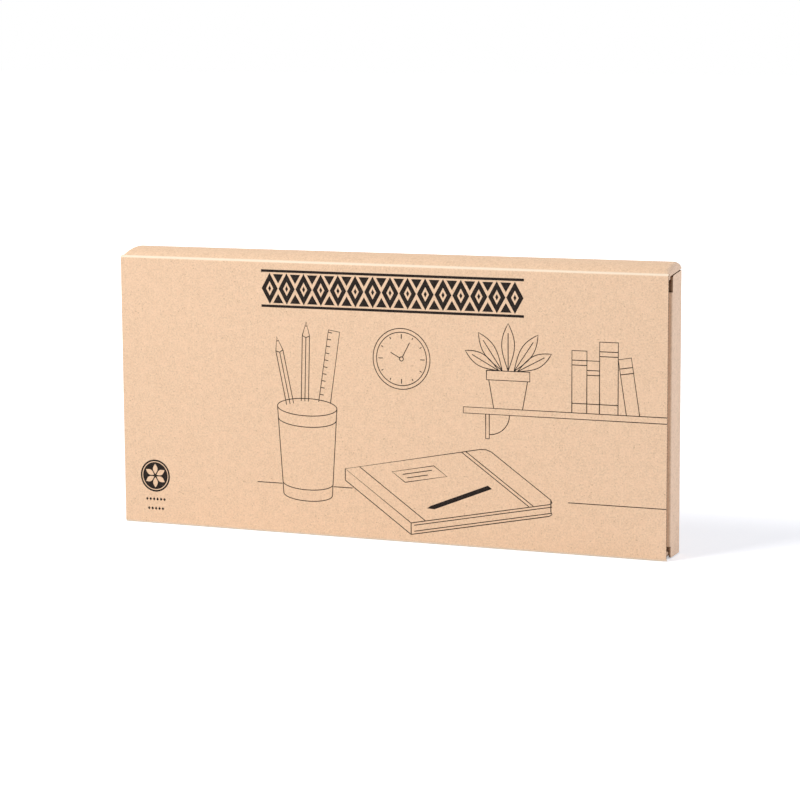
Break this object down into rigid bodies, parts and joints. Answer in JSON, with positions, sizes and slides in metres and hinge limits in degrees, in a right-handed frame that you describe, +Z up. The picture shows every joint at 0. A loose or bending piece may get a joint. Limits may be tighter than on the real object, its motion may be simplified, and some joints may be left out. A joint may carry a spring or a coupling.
{
  "type": "boxed charging station organizer",
  "caption": "Closed kraft tuck-end carton, opening at both ends, that holds a flat two-layer bamboo wireless charging organizer with pen recess, phone recess and phone slot in a folded tray.",
  "frame": {"origin": "middle of the face that the closed carton stands on", "axes": "+X along the carton to the right, +Y from its printed front to its back, +Z up"},
  "size_m": [0.25, 0.0192, 0.1214],
  "materials": {
    "kraft_board": "uncoated kraft board, matt",
    "tray_board": "uncoated kraft board, matt",
    "bamboo": "sanded and oiled bamboo",
    "silicone": "matt silicone",
    "felt": "dense felt",
    "cover_plastic": "fine moulded texture",
    "steel": "zinc plated",
    "rubber": "matt rubber",
    "ferrite": "sintered sheet",
    "copper": "enamelled copper wire",
    "board_laminate": "solder mask",
    "chip_black": "moulded epoxy"
  },
  "bodies": {
    "carton": {"front_panel": "kraft_board", "back_panel": "kraft_board", "top_panel": "kraft_board", "bottom_panel": "kraft_board", "glue_lap": "kraft_board", "tray_floor": "tray_board", "tray_upper_rail": "tray_board", "tray_lower_rail": "tray_board", "tray_left_rail": "tray_board", "tray_right_rail": "tray_board", "organizer_top": "bamboo", "organizer_base": "bamboo", "anti_slip_ring": "silicone", "slot_strip": "felt", "base_cover": "cover_plastic", "cover_screws": "steel", "rubber_feet": "rubber", "ferrite_sheet": "ferrite", "charging_coil": "copper", "control_board": "board_laminate", "board_screws": "steel", "board_chips": "chip_black", "power_inlet": "steel"},
    "right_tuck": {"right_tuck_flap": "kraft_board"},
    "right_upper_dust": {"right_upper_dust_flap": "kraft_board"},
    "right_lower_dust": {"right_lower_dust_flap": "kraft_board"},
    "left_tuck": {"left_tuck_flap": "kraft_board"},
    "left_upper_dust": {"left_upper_dust_flap": "kraft_board"},
    "left_lower_dust": {"left_lower_dust_flap": "kraft_board"}
  },
  "joints": [
    {"name": "right_tuck_fold", "type": "hinge", "parent": "carton", "child": "right_tuck", "pos_m": [0.1246, 0.0092, 0.0595], "axis": [0, 0, 1], "range_deg": [0, 165]},
    {"name": "right_upper_dust_fold", "type": "hinge", "parent": "carton", "child": "right_upper_dust", "pos_m": [0.1235, 0, 0.1154], "axis": [0, -1, 0], "range_deg": [0, 66]},
    {"name": "right_lower_dust_fold", "type": "hinge", "parent": "carton", "child": "right_lower_dust", "pos_m": [0.1235, 0, 0.0036], "axis": [0, 1, 0], "range_deg": [0, 66]},
    {"name": "left_tuck_fold", "type": "hinge", "parent": "carton", "child": "left_tuck", "pos_m": [-0.1246, 0.0092, 0.0595], "axis": [0, 0, -1], "range_deg": [0, 165]},
    {"name": "left_upper_dust_fold", "type": "hinge", "parent": "carton", "child": "left_upper_dust", "pos_m": [-0.1235, 0, 0.1154], "axis": [0, 1, 0], "range_deg": [0, 66]},
    {"name": "left_lower_dust_fold", "type": "hinge", "parent": "carton", "child": "left_lower_dust", "pos_m": [-0.1235, 0, 0.0036], "axis": [0, -1, 0], "range_deg": [0, 66]}
  ],
  "couplings": [
    {"joint": "right_upper_dust_fold", "follows": "right_tuck_fold", "ratio": 0.4},
    {"joint": "right_lower_dust_fold", "follows": "right_tuck_fold", "ratio": 0.4},
    {"joint": "left_upper_dust_fold", "follows": "left_tuck_fold", "ratio": 0.4},
    {"joint": "left_lower_dust_fold", "follows": "left_tuck_fold", "ratio": 0.4}
  ]
}
